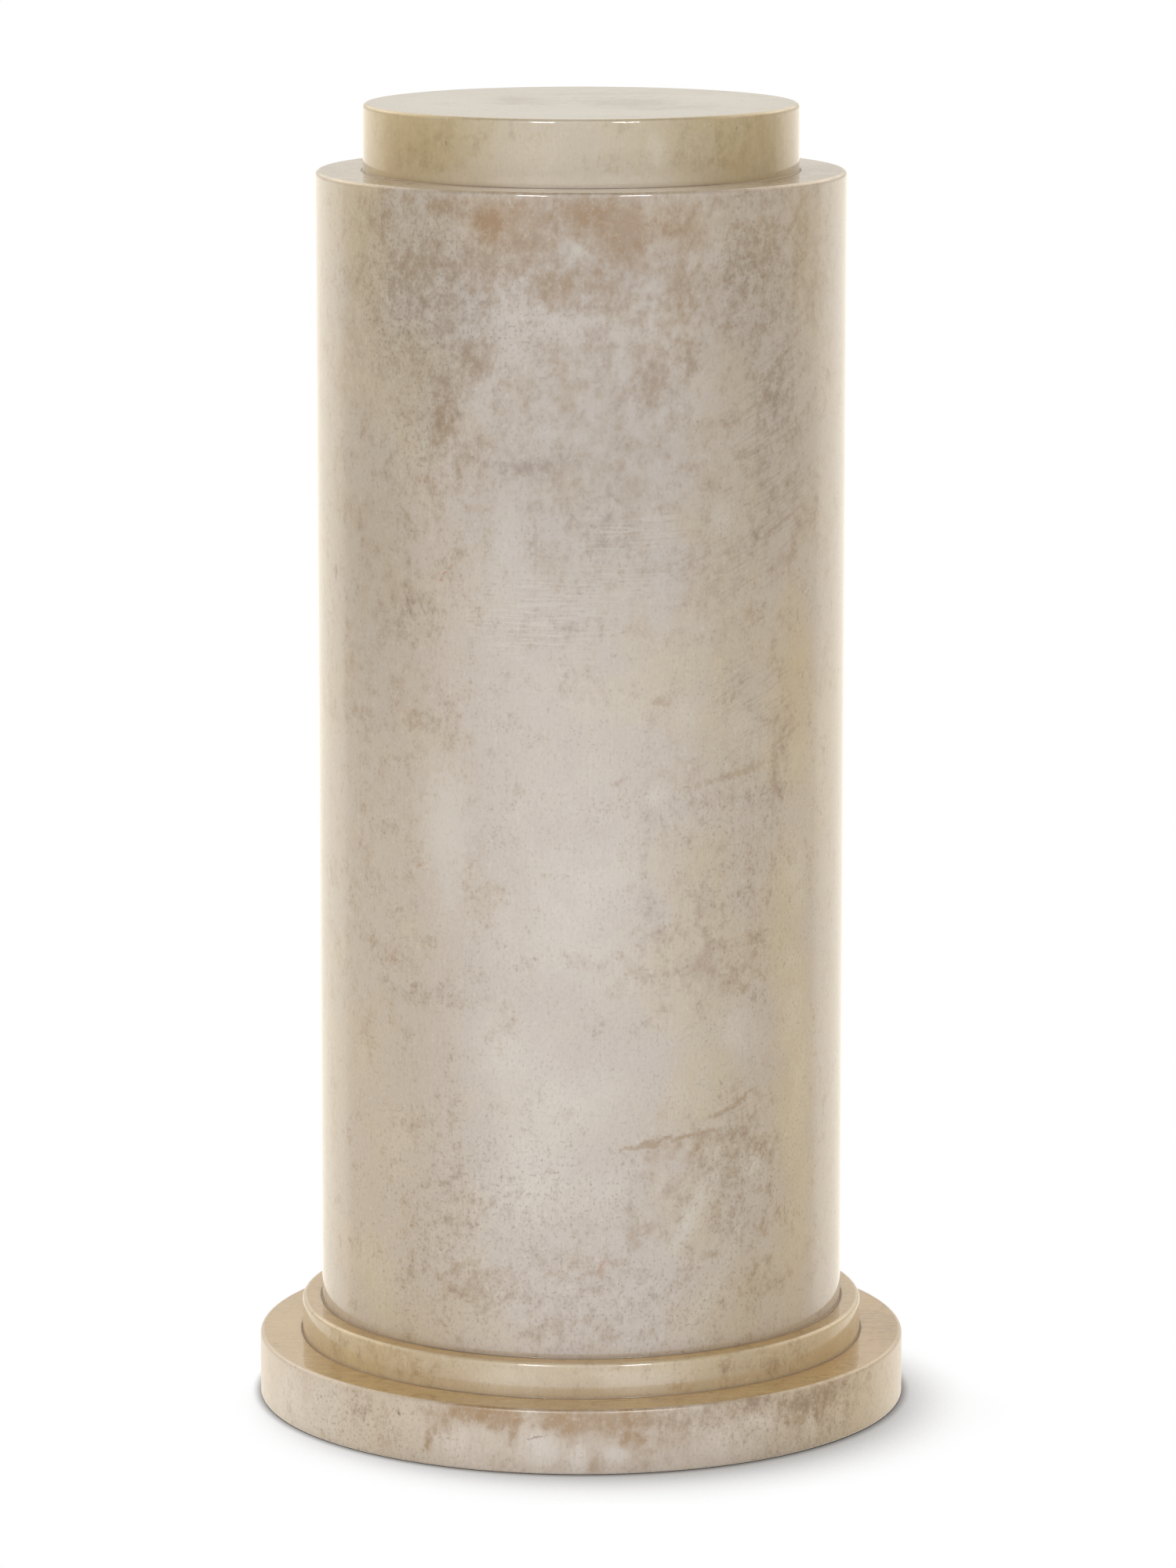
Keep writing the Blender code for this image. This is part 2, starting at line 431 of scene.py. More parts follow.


# %% [markdown]
# The shaft's own marks, read off the photograph. Tan stains run under the top edge and lie
# in a field low on the right. Pale is worn thin, cream and gold are warmer and cool is greyer.
# Smudges are grey-brown, hair is where the follicle specks crowd together, and deep is a darker
# tone, which on this side is painted shade, the upper shaft darker as less light comes up from the
# floor. Grain has fine leaning hairs, crease fine level folds and streak the upright marks of a
# brush.

# %% Marks of the shaft
MARK_KINDS = ("tan", "pale", "cream", "cool", "gold", "smudge", "hair", "deep", "grain", "crease",
              "streak")
SHAFT_MARKS = {
    "tan": [
        (-62, 846, 14, 14, 1.4), (-95, 856, 34, 8, 0.8), (-40, 852, 34, 14, 0.9),
        (5, 853, 34, 13, 1.2), (28, 838, 20, 26, 1.2), (62, 845, 20, 16, 0.9),
        (-18, 806, 28, 18, 1.0), (68, 800, 13, 56, 0.75, 4), (60, 756, 12, 16, 0.5, 10),
        (46, 740, 18, 22, 0.7), (16, 806, 20, 24, 0.9), (-74, 753, 14, 14, 0.8),
        (-96, 716, 10, 30, 0.8), (112, 186, 44, 34, 0.5, 8), (140, 150, 26, 50, 0.3),
        (72, 210, 30, 9, 0.6, 8), (-80, 118, 54, 14, 0.5), (12, 104, 60, 30, 0.3),
        (-10, 828, 110, 44, 0.76), (-60, 800, 50, 30, 0.4), (0, 700, 90, 80, 0.36),
        (55, 356, 9, 40, 0.4), (-115, 160, 22, 50, 0.2), (80, 345, 50, 50, 0.3),
        (-96, 690, 40, 30, 0.3), (160, 846, 20, 14, 0.4), (-30, 686, 26, 5, 0.3),
    ],
    "pale": [
        (-2, 827, 11, 10, 0.9, -15), (-88, 834, 8, 13, 0.7), (96, 829, 7, 12, 0.5),
        (-40, 784, 34, 11, 0.5), (-24, 708, 30, 9, 0.35), (100, 645, 9, 12, 0.6),
        (76, 516, 11, 11, 0.4), (52, 459, 11, 9, 0.6), (-97, 430, 14, 32, 0.35),
        (-99, 385, 10, 22, 0.4), (116, 290, 20, 18, 0.5), (127, 193, 8, 9, 0.7),
        (80, 170, 6, 40, 0.6, -30), (-45, 280, 38, 24, 0.5), (0, 262, 40, 26, 0.4),
        (-120, 833, 16, 11, 0.3), (60, 275, 30, 28, 0.4), (-48, 630, 15, 34, 0.35),
        (20, 186, 20, 16, 0.3), (100, 125, 6, 36, 0.5, -30), (-40, 200, 30, 30, 0.3),
        (10, 400, 40, 90, 0.35), (78, 720, 8, 20, 0.3), (172, 260, 16, 130, 0.5),
        (-150, 170, 30, 90, 0.3),
    ],
    "cream": [
        (84, 268, 34, 30, 1.0), (90, 560, 60, 60, 0.7), (170, 300, 20, 120, 0.7),
        (80, 420, 30, 60, 0.9), (72, 340, 30, 60, 0.8), (125, 835, 20, 26, 0.5),
        (60, 620, 50, 40, 0.5), (90, 480, 50, 24, 0.5), (-160, 800, 24, 60, 0.4),
        (80, 150, 34, 50, 0.5), (-160, 250, 24, 200, 0.4), (-130, 540, 50, 40, 0.3),
    ],
    "cool": [
        (-48, 640, 22, 50, 1.0), (-30, 710, 40, 40, 0.7), (-45, 540, 46, 60, 0.8),
        (0, 829, 26, 16, 0.7), (-30, 400, 60, 80, 0.9), (-20, 200, 60, 60, 0.8),
        (126, 290, 24, 26, 0.7), (-100, 320, 50, 50, 0.6), (20, 700, 40, 60, 0.5),
        (-110, 660, 60, 60, 0.5), (140, 720, 30, 60, 0.7), (-98, 436, 30, 60, 0.7),
        (-130, 450, 60, 200, 0.5), (-60, 790, 60, 30, 0.6), (122, 500, 16, 30, 0.9),
        (126, 400, 20, 60, 0.5), (130, 180, 24, 40, 0.5), (-20, 110, 50, 40, 0.4),
    ],
    # The gold ovals at 160 mm and more from the front are painted warm light, the golden band near
    # each outline. The others are warmer skin
    "gold": [
        (172, 180, 22, 150, 0.9), (172, 530, 18, 60, 0.9), (-175, 150, 40, 120, 0.3),
        (60, 230, 30, 20, 0.3), (-110, 90, 60, 20, 0.5), (150, 90, 50, 30, 0.5),
        (172, 850, 20, 40, 0.6), (-172, 850, 20, 40, 0.5), (160, 350, 24, 60, 0.5),
        (-60, 846, 30, 20, 0.8), (44, 846, 44, 16, 0.9),
    ],
    "smudge": [
        (-72, 755, 15, 12, 0.5), (-98, 720, 11, 30, 0.45), (-41, 685, 28, 6, 0.8),
        (48, 745, 18, 22, 0.4), (72, 745, 6, 26, 0.5, -8), (-125, 800, 30, 30, 0.3),
        (-90, 800, 36, 26, 0.3), (150, 725, 20, 34, 0.7), (-116, 506, 34, 6, 0.5, 6),
        (-10, 578, 14, 10, 0.4), (150, 455, 30, 11, 0.4, 10), (80, 452, 50, 9, 0.4, 5),
        (52, 360, 7, 42, 0.5), (112, 350, 36, 32, 0.2), (112, 328, 18, 20, 0.25),
        (44, 390, 4, 90, 0.6),
        (118, 225, 30, 16, 0.35), (110, 200, 24, 24, 0.4), (-112, 190, 10, 40, 0.25),
        (-105, 317, 50, 6, 0.5, 2), (-80, 120, 52, 12, 0.12), (-60, 180, 50, 28, 0.3),
        (60, 130, 30, 18, 0.1), (38, 180, 8, 24, 0.4), (24, 640, 20, 20, 0.4),
        (-115, 585, 26, 20, 0.35, 10), (160, 495, 6, 26, 0.4), (130, 640, 40, 16, 0.3, 18),
        (-150, 340, 20, 40, 0.15), (20, 780, 70, 30, 0.3), (140, 800, 30, 40, 0.4),
    ],
    "hair": [
        (-120, 795, 40, 50, 1.3), (-60, 790, 40, 30, 1.1), (122, 820, 22, 30, 0.9),
        (-10, 640, 60, 30, 0.3), (110, 400, 40, 60, 0.4), (-40, 170, 90, 50, 0.5),
        (110, 180, 50, 40, 0.5), (-100, 700, 50, 40, 0.5), (-90, 130, 60, 40, 0.5),
        (0, 110, 100, 30, 0.9),
    ],
    # Painted shade: the upper shaft darker, as less light comes up to it from the floor
    "deep": [
        (-120, 800, 80, 110, 1.0), (120, 800, 80, 110, 0.6), (0, 830, 100, 60, 0.8),
        (150, 690, 50, 110, 0.5), (-165, 640, 50, 150, 0.85), (0, 690, 110, 110, 0.75),
        (165, 520, 14, 50, 0.2),
    ],
    "grain": [(150, 690, 45, 100, 1.0), (130, 520, 50, 40, 0.8), (110, 780, 40, 40, 0.5),
              (110, 620, 50, 30, 0.8)],
    "crease": [(-30, 582, 46, 30, 1.0), (40, 640, 36, 14, 0.9), (20, 600, 40, 20, 0.7),
               (-120, 100, 60, 30, 0.4), (20, 620, 30, 40, 0.6), (-150, 560, 40, 60, 0.4)],
    "streak": [(30, 690, 30, 90, 0.8), (-30, 630, 24, 34, 0.8), (70, 400, 34, 100, 1.0),
               (0, 120, 70, 40, 0.6), (-110, 260, 40, 60, 0.6), (140, 420, 24, 80, 0.8),
               (-70, 440, 40, 60, 0.5), (60, 160, 40, 60, 0.6)],
}
print("marks on the near side of the shaft:", sum(map(len, SHAFT_MARKS.values())))

# %% [markdown]
# The other drums are quieter. The plinth has a band of tan stains along the top of its front with
# cream tongues below them, and fine level creases all over its ledge. The cap's top is rubbed
# pale round faint tan smudges.

# %% Marks of the other drums
PLINTH_MARKS = {
    "tan": [(-66, 41, 28, 10, 1.5), (-46, 35, 4, 12, 1.3), (-12, 37, 22, 13, 1.3),
            (28, 38, 32, 10, 1.2), (34, 26, 16, 12, 1.1, -20), (-109, 16, 3, 10, 1.0),
            (-144, 10, 9, 6, 0.5), (8, 6, 5, 9, 0.9), (64, 30, 16, 14, 0.7),
            (120, 38, 30, 8, 0.5), (185, 32, 44, 14, 0.7), (-40, 5, 24, 5, 0.6),
            (-95, 34, 14, 12, 0.7), (30, 8, 24, 6, 0.5)],
    "pale": [(-28, 18, 12, 14, 1.1), (-2, 13, 7, 11, 1.1), (24, 13, 10, 8, 1.1),
             (-84, 18, 16, 14, 0.8), (-120, 30, 18, 12, 0.3), (96, 16, 24, 12, 0.5),
             (130, 28, 16, 8, 0.5), (175, 24, 4, 14, 0.6), (205, 26, 4, 14, 0.5),
             # The last pale oval, on the plinth's left, is painted light: that side lit more
             (-215, 24, 40, 30, 0.6)],
    "cream": [(-150, 25, 40, 20, 0.4), (230, 20, 40, 30, 0.4)],
    # Painted warm light: the golden band near the plinth's right outline
    "gold": [(250, 25, 60, 60, 0.7)],
    "cool": [(-28, 14, 16, 14, 0.8), (90, 18, 40, 20, 0.4), (-90, 16, 30, 16, 0.4),
             (-250, 25, 90, 40, 0.9)],
    "smudge": [(125, 40, 18, 5, 0.9), (175, 36, 36, 9, 1.0), (200, 18, 20, 12, 0.5),
               (-144, 12, 10, 6, 0.25), (-180, 30, 40, 12, 0.5), (70, 36, 40, 6, 0.5),
               (10, 7, 30, 5, 0.3)],
    "hair": [(110, 30, 50, 18, 0.6), (180, 24, 50, 20, 0.6), (-160, 20, 60, 20, 0.5)],
    # Painted shade: the middle of the plinth's front darker
    "deep": [(0, 20, 110, 60, 0.4)],
    "streak": [(-10, 20, 90, 30, 0.9), (180, 24, 60, 24, 0.8)],
}
PLINTH_TOP_MARKS = {
    "tan": [(214, -6, 20, 60, 0.7), (190, -110, 30, 30, 0.4)],
    "smudge": [(212, 10, 20, 40, 0.4)],
    "pale": [(-214, -20, 16, 60, 0.3)],
    # Painted shade along the front of the ledge, below the step
    "deep": [(0, -214, 150, 24, 0.5)],
    # Painted warm light: the ledge golden at its right edge
    "gold": [(214, 0, 40, 160, 1.0)],
    "crease": [(0, 0, 300, 300, 1.0)],
}
STEP_MARKS = {
    # The last pale oval and the gold one, both near the step's right outline, are painted warm
    # light
    "pale": [(-50, 56, 34, 9, 0.9), (40, 56, 30, 8, 0.8), (20, 61, 20, 4, 0.7),
             (235, 56, 50, 20, 0.6)],
    "tan": [(-116, 56, 16, 9, 0.35), (-150, 58, 20, 9, 0.3), (70, 51, 14, 6, 0.4)],
    "gold": [(235, 56, 50, 20, 1.0)],
    "smudge": [(-110, 58, 16, 8, 0.3), (-90, 56, 6, 6, 0.5), (150, 56, 30, 9, 0.5),
               (100, 60, 20, 6, 0.3)],
    "cool": [(27, 56, 20, 8, 1.0), (-30, 54, 40, 8, 0.5)],
}
CAP_MARKS = {
    "tan": [(-60, 900, 30, 10, 0.3)],
    # The last pale oval, a thin band round the cap's foot, is painted reflection: the bright ledge
    # below mirrored in the side
    "pale": [(-30, 892, 40, 18, 0.4), (52, 892, 7, 12, 0.6), (0, 870, 120, 5, 1.0)],
    "smudge": [(-95, 898, 24, 12, 0.4), (-118, 884, 16, 10, 0.4), (95, 893, 24, 14, 0.5),
               (20, 884, 30, 6, 0.4), (-50, 904, 20, 6, 0.3), (75, 900, 16, 9, 0.4)],
    "cool": [(-10, 880, 60, 9, 0.5), (-20, 896, 50, 14, 0.4), (-70, 878, 50, 8, 0.5)],
    # The deep ovals are painted shade, on both sides of the cap and faintly in front, and the
    # cream and gold ovals are painted warm light on its sides
    "deep": [(140, 890, 40, 60, 0.5), (-120, 890, 40, 60, 0.5), (30, 890, 60, 60, 0.2)],
    "cream": [(-140, 890, 60, 60, 0.5), (140, 890, 50, 60, 0.8)],
    "gold": [(-150, 890, 60, 60, 0.8), (150, 890, 60, 60, 0.9)],
}
SHAFT_TOP_MARKS = {
    "tan": [(150, -70, 30, 40, 0.8), (-140, -90, 30, 30, 0.6)],
    # The gold oval and the last pale one, along the front of the ring, are painted reflection: the
    # golden cap mirrored in the ring, and the ring brighter there
    "gold": [(0, -168, 130, 30, 0.25)],
    "smudge": [(166, -10, 20, 40, 0.9), (-168, 0, 14, 40, 0.5)],
    "pale": [(160, -30, 14, 12, 0.6), (0, -168, 120, 24, 1.2)],
}
CAP_TOP_MARKS = {
    "tan": [(20, 80, 60, 12, 0.6, 8), (36, -4, 28, 48, 0.9), (-48, 18, 15, 40, 0.9)],
    "pale": [(-100, 0, 30, 60, 0.6), (0, -100, 90, 20, 0.5), (90, 40, 40, 50, 0.4)],
    "smudge": [(38, -4, 26, 42, 0.8), (-49, 18, 12, 34, 0.6), (-92, -10, 12, 20, 0.7),
               (70, -44, 22, 20, 0.7)],
    "cool": [(0, 0, 150, 150, 0.7)],
}
print("kinds of mark:", ", ".join(MARK_KINDS))

# %% [markdown]
# The smallest marks are finer than the mesh: rust-red and dark specks, scratches, thin growth
# lines and the brown tide line under the cream patch. These are drawn by the material, each as a
# small rough-edged oval with its own tone, so their lists are kept apart.

# %% Small marks
# Middle and half sizes in millimetres, lean in degrees, tone and amount
RUST, DARK, TIDE, FAINT = "A8714C", "5C4A3A", "92754C", "9A8470"
SHAFT_SPOTS = (
    (-92, 613, 1.6, 0.9, 30, RUST, 0.8), (-96, 609, 1.0, 1.0, 0, RUST, 0.7),
    (-99, 604, 1.6, 1.2, 0, RUST, 0.6), (-118, 407, 3.2, 1.1, 20, RUST, 0.5),
    (-111, 405, 1.4, 0.8, 0, RUST, 0.5), (13, 134, 1.0, 4.5, -20, RUST, 0.7),
    (-213, 596, 1.3, 5.0, 0, DARK, 0.6), (-127, 586, 0.9, 9.0, 25, DARK, 0.35),
    (-114, 583, 1.0, 7.0, 30, DARK, 0.3), (100, 257, 1.0, 1.0, 0, DARK, 0.5),
    (100, 247, 1.4, 1.6, 0, DARK, 0.5), (21, 272, 1.2, 1.2, 0, DARK, 0.5),
    (54, 524, 6.0, 2.2, 0, TIDE, 0.4), (-31, 634, 1.3, 17.0, 0, FAINT, 0.5),
    (147, 466, 2.6, 22.0, 0, TIDE, 0.30), (109, 470, 28.0, 2.2, 9, TIDE, 0.40),
    (152, 638, 20.0, 0.9, 24, FAINT, 0.6), (158, 490, 18.0, 0.9, 24, FAINT, 0.6),
    (46, 218, 14.0, 1.7, 8, TIDE, 0.8), (72, 222, 18.0, 1.5, 5, TIDE, 0.7),
    (101, 236, 12.0, 1.2, 14, TIDE, 0.6), (119, 244, 9.0, 1.4, 28, TIDE, 0.55),
    (26, 470, 5.0, 2.0, 20, TIDE, 0.4), (36, 152, 3.0, 6.0, 0, TIDE, 0.4),
    (93, 137, 5.0, 3.0, 0, TIDE, 0.4), (-98, 432, 15.0, 36.0, 0, "CDC8C4", 0.55),
    (-84, 130, 12.0, 2.0, 25, TIDE, 0.3),
)
PLINTH_SPOTS = ((-132, 33, 1.0, 2.0, 20, DARK, 0.9), (-30, 26, 6.0, 0.7, 12, "7E5F48", 0.7),
                (-16, 27, 3.0, 0.6, -10, "7E5F48", 0.4))
CAP_SPOTS = ((-97, 896, 0.8, 0.9, 0, DARK, 0.45), (117, 904, 0.8, 1.0, 0, DARK, 0.5))
CAP_TOP_SPOTS = ((111, 15, 0.9, 3.0, 0, DARK, 0.7),)
print("small marks:", len(SHAFT_SPOTS + PLINTH_SPOTS + CAP_SPOTS + CAP_TOP_SPOTS))

# %% [markdown]
# ## Turning the mesh
# The section and the angles make a grid of points. Whole arrays give the places, the faces and
# the flat skin map that the pattern follows: on the side it is millimetre for millimetre the
# skin before it was wrapped, on the top it is the disc seen from above. Each skin starts at its
# own far-off place on the map, so the pattern breaks where two skins meet. One point closes the
# fan of triangles at the middle of the top, and one at the middle of the underside.

# %% Turned skin
SKIN_MAP = "skin"
SKIN_GAP = 2.5
SHARP_ANGLE = math.radians(60)
# Painted shade where one drum stands on another: how far up the upper drum's foot it reaches, how
# strong it is there, and how far out it reaches over the lower drum's top
FOOT_SHADE, FOOT_SHADE_AMOUNT = 0.0018, 0.7
SEAT_SHADE = 0.0035
SEAT_LAP = 0.004
POLE_RADIUS = 0.012


def turned_skin(name, radius, low, high, seat, columns, step, on_floor, side_marks, top_marks,
                place):
    """The grid point in row i and column j is (r sin a, -r cos a, z) for the section's r and z
    and the angle a, moved inwards by the swell and by the valley at the joints. seat is the
    radius of the drum that stands on this one, or 0, and place is where the skin map starts."""
    cover = seat - SEAT_LAP if seat else POLE_RADIUS
    section = half_section(radius, low, high, cover, step, on_floor)
    angle = angles_round(radius, columns)
    r, z, out, up, skin = (section[:, k, None] for k in range(5))
    way = np.stack(np.broadcast_arrays(out * np.sin(angle), -out * np.cos(angle), up), -1)
    points = np.stack(np.broadcast_arrays(r * np.sin(angle), -r * np.cos(angle), z), -1)

    from_front = np.abs((angle + math.pi) % (2 * math.pi) - math.pi)
    off_joint = np.abs(from_front - JOINT_TURN) * radius / JOINT_HALF
    valley = np.clip(1 - off_joint, 0, 1) * (skin == SIDE)
    points = points - way * (swell(points) + JOINT_DEPTH * valley)[..., None]

    count, columns = points.shape[:2]
    index = np.arange(count * columns).reshape(count, columns)
    right = np.roll(index, -1, axis=1)
    quads = np.stack([index[:-1], right[:-1], right[1:], index[1:]], -1).reshape(-1, 4)
    centre_low, centre_high = count * columns, count * columns + 1
    fan_low = np.stack([np.full(columns, centre_low), right[0], index[0]], -1)
    fan_high = np.stack([np.full(columns, centre_high), index[-1], right[-1]], -1)
    poles = [(0.0, 0.0, points[0, :, 2].mean()), (0.0, 0.0, points[-1, :, 2].mean())]

    mesh = bpy.data.meshes.new(name)
    mesh.from_pydata(np.concatenate([points.reshape(-1, 3), poles]).tolist(), [],
                     quads.tolist() + fan_low.tolist() + fan_high.tolist())

    # The skin map: along the girth and up the section on the side, plain x and y on the discs
    length = np.append(0, np.cumsum(np.hypot(np.diff(section[:, 0]), np.diff(section[:, 1]))))
    a = np.append(angle, angle[0] + 2 * math.pi)
    strip = (skin[:-1, 0] + skin[1:, 0]) / 2
    panel = np.where(np.abs((a[:-1] + a[1:]) / 2) < JOINT_TURN, 0.0, SKIN_GAP)
    wrapped = np.stack(np.broadcast_arrays(a * radius, length[:, None]), -1)
    flat = np.stack([r * np.sin(a), -r * np.cos(a)], -1)
    corners = ((0, 0), (0, 1), (1, 1), (1, 0))
    uv = np.empty((count - 1, columns, 4, 2))
    for k, (i, j) in enumerate(corners):
        rows = slice(i, count - 1 + i)
        cols = slice(j, columns + j)
        side_uv = wrapped[rows, cols] + np.stack([panel, 0 * panel], -1)
        disc_uv = flat[rows, cols] + (0.0, -SKIN_GAP)
        uv[:, :, k] = np.where((strip == SIDE)[:, None, None], side_uv, disc_uv)
    fans = []
    for ring, order in ((0, (1, 0)), (-1, (0, 1))):
        fan = np.zeros((columns, 3, 2))
        fan[:, 1 + order[0]] = flat[ring, :-1]
        fan[:, 1 + order[1]] = flat[ring, 1:]
        fans.append(fan.reshape(-1, 2) + (0.0, -SKIN_GAP))
    layer = mesh.uv_layers.new(name=SKIN_MAP)
    all_uv = np.concatenate([uv.reshape(-1, 2), *fans]) + place
    layer.uv.foreach_set("vector", all_uv.astype(np.float32).ravel())

    def keep(label, values, at_poles=(0.0, 0.0)):
        """Stores one number for each vertex, with those of the two poles last."""
        full = np.append(np.broadcast_to(values, (count, columns)).ravel(), at_poles)
        mesh.attributes.new(label, "FLOAT", "POINT").data.foreach_set(
            "value", full.astype(np.float32))

    # Each kind of mark, and the places in millimetres by which the small marks are drawn
    around_mm = np.broadcast_to(angle * radius * 1000, (count, columns))
    height_mm = points[..., 2] * 1000
    for kind in MARK_KINDS:
        on_side = ovals(side_marks.get(kind, ()), around_mm, height_mm)
        on_top = ovals(top_marks.get(kind, ()), points[..., 0] * 1000, points[..., 1] * 1000)
        values = np.where(skin == SIDE, on_side, np.where(skin == TOP, on_top, 0.0))
        keep(kind, values, (0.0, values[-1, 0]))
    keep("across_mm", np.where(skin == SIDE, around_mm, points[..., 0] * 1000))
    keep("up_mm", np.where(skin == SIDE, height_mm, points[..., 1] * 1000))
    keep("joint", valley)
    # Painted shade in the corners where the drums meet: darker up the foot of a drum that stands
    # on another, and on its own top round the drum that stands on it
    at_foot = np.clip(1 - (z - low) / FOOT_SHADE, 0, 1) * (not on_floor) * (skin == SIDE)
    at_seat = np.clip(1 - (r - seat) / SEAT_SHADE, 0, 1) * bool(seat) * (skin == TOP)
    keep("corner_shade", FOOT_SHADE_AMOUNT * at_foot + at_seat)

    # The top takes the second material and the underside the third
    faces = np.repeat(np.where(strip == SIDE, 0, np.where(strip > SIDE, 1, 2)), columns)
    faces = np.concatenate([faces, np.full(columns, 2), np.full(columns, 1)])
    mesh.polygons.foreach_set("material_index", faces.astype(np.int32))

    mesh.shade_smooth()
    mesh.set_sharp_from_angle(angle=SHARP_ANGLE)
    piece = bpy.data.objects.new(name, mesh)
    scene.collection.objects.link(piece)
    triangles = sum(len(p.vertices) - 2 for p in mesh.polygons)
    print(name, "has", triangles, "triangles")
    return piece


# %% [markdown]
# ## Goatskin parchment under lacquer
# Parchment is skin that was limed, scraped and dried under tension. It isn't tanned, so it stays
# cream, a little see-through, and shows everything that was in the hide: the cream ground, greyish
# and pinkish clouds where it is thicker, tan stains, and the hair follicles as grey-brown specks.
# Many coats of gloss lacquer, slightly amber, are rubbed flat on top. So the material is a soft,
# half-matt base with the pattern, under a clear coat with a faint amber tint. Lacquer has an
# index of refraction near 1.5. Clouds are 20 to 120 mm across, brush strokes about 8 mm, grit 3
# to 7 mm, and the follicles 5 to 9 mm apart. The numbers below are those sizes.

# %% Goatskin material
def goatskin(name, tones, busy=1.0, spots=(), specks=1.0, blur=0.035, sheen=0.5):
    """A lacquered goatskin from six hex tones: the greyish ground, its cream fields, its thin
    pale places, its clouds, its stains, and the grey-brown of grit and follicles. busy scales
    how much the last three show, specks how much the follicles do, and spots are the small
    marks. blur is the coat's roughness, and sheen is how much the base shines by itself."""
    ground, cream, thin, cloud, stain, brown = tones
    material = bpy.data.materials.new(name)
    material.use_nodes = True
    tree = material.node_tree
    shader = tree.nodes["Principled BSDF"]
    place = add(tree, "UVMap", uv_map=SKIN_MAP).outputs[0]

    def noise(size_mm, detail=4.0, rough=0.55, tall=1.0, lean=0.0, shift=0.0):
        """Noise whose features are size_mm across and tall times as high, leaning by degrees."""
        where = add(tree, "Mapping", {"Vector": place, "Location": (shift, shift, 0.0),
                                      "Rotation": (0.0, 0.0, math.radians(lean)),
                                      "Scale": (1.0, tall, 1.0)}, vector_type="TEXTURE").outputs[0]
        return add(tree, "TexNoise", {"Vector": where, "Scale": 1000.0 / size_mm, "Detail": detail,
                                      "Roughness": rough}, noise_dimensions="2D").outputs["Fac"]

    def calc(operation, *values):
        return add(tree, "Math", dict(enumerate(values)), operation=operation).outputs[0]

    def blend(*weighted):
        """The sum of each value times its weight."""
        total = 0.0
        for value, weight in weighted:
            total = calc("MULTIPLY_ADD", value, weight, total)
        return total

    def ramp(value, start, end, low=0.0, high=1.0):
        return add(tree, "MapRange", {"Value": value, 1: start, 2: end, 3: low, 4: high},
                   interpolation_type="SMOOTHSTEP").outputs["Result"]

    def paint(under, tone, amount):
        tone = linear(tone) if isinstance(tone, str) else tone
        return add(tree, "Mix", {FACTOR: amount, FIRST: under, SECOND: tone},
                   data_type="RGBA").outputs[MIXED]

    mark = {kind: add(tree, "Attribute", attribute_name=kind).outputs["Fac"]
            for kind in (*MARK_KINDS, "joint", "corner_shade", "across_mm", "up_mm")}
    broad = noise(120, 2, 0.5)
    clouds = noise(48, 7, 0.60, 1.2, shift=3.1)
    patches = noise(20, 7, 0.64, 1.15, shift=5.3)
    strokes = noise(8.0, 5, 0.62, 2.6, lean=-28.0, shift=4.4)
    grit = noise(7.0, 5, 0.62, 1.2, shift=7.7)
    flecks = noise(3.2, 3, 0.60, 1.3, shift=1.7)

    # The ground, greyish or cream, and paler where the skin is thin
    field = blend((broad, 0.50), (clouds, 0.50), (mark["cream"], 0.20), (mark["cool"], -0.16))
    colour = paint(linear(ground), cream, ramp(field, 0.42, 0.68))
    field = blend((clouds, 0.40), (broad, 0.25), (patches, 0.20), (grit, 0.15),
                  (mark["pale"], 0.20), (mark["cool"], 0.04), (mark["deep"], -0.05))
    colour = paint(colour, thin, ramp(field, 0.48, 0.72, 0.0, 0.9))

    # Clouds, gritty at their edges because the hair side of the skin is
    field = blend((clouds, 0.40), (patches, 0.38), (grit, 0.22), (mark["tan"], 0.12),
                  (mark["smudge"], 0.07), (mark["pale"], -0.14), (mark["deep"], 0.03))
    colour = paint(colour, cloud, ramp(field, 0.46, 0.68, 0.0, 0.72 * busy))

    # Tan stains, brushed out as they soaked in
    field = blend((patches, 0.34), (strokes, 0.30), (grit, 0.22), (flecks, 0.14),
                  (mark["tan"], 0.34), (mark["pale"], -0.12))
    soaked = calc("MULTIPLY", ramp(field, 0.53, 0.98, 0.0, 1.1 * busy),
                  ramp(blend((grit, 0.35), (flecks, 0.35), (clouds, 0.3)), 0.38, 0.60, 0.62, 1.0))
    orange = paint(linear(stain), cloud, ramp(patches, 0.44, 0.62, 0.0, 0.30))
    colour = paint(colour, orange, soaked)

    # Grey-brown smudges
    field = blend((grit, 0.36), (flecks, 0.24), (patches, 0.22), (strokes, 0.18),
                  (mark["smudge"], 0.22), (mark["hair"], 0.05), (mark["pale"], -0.12),
                  (mark["cream"], -0.03))
    colour = paint(colour, brown, ramp(field, 0.50, 0.84, 0.0, 0.66 * busy))

    # Pepper, the finest specks, and pale flecks between them
    pepper = calc("MULTIPLY", ramp(noise(2.2, 2, 0.5, 1.2, shift=4.9), 0.54, 0.76),
                  ramp(blend((mark["hair"], 0.5), (mark["smudge"], 0.35), (patches, 1.0)),
                       0.35, 0.95, 0.14 * specks, 0.66 * specks))
    colour = paint(colour, brown, pepper)
    field = blend((flecks, 0.6), (grit, -0.4), (mark["hair"], 0.05))
    colour = paint(colour, thin, ramp(field, 0.14, 0.30, 0.0, 0.30 * busy))

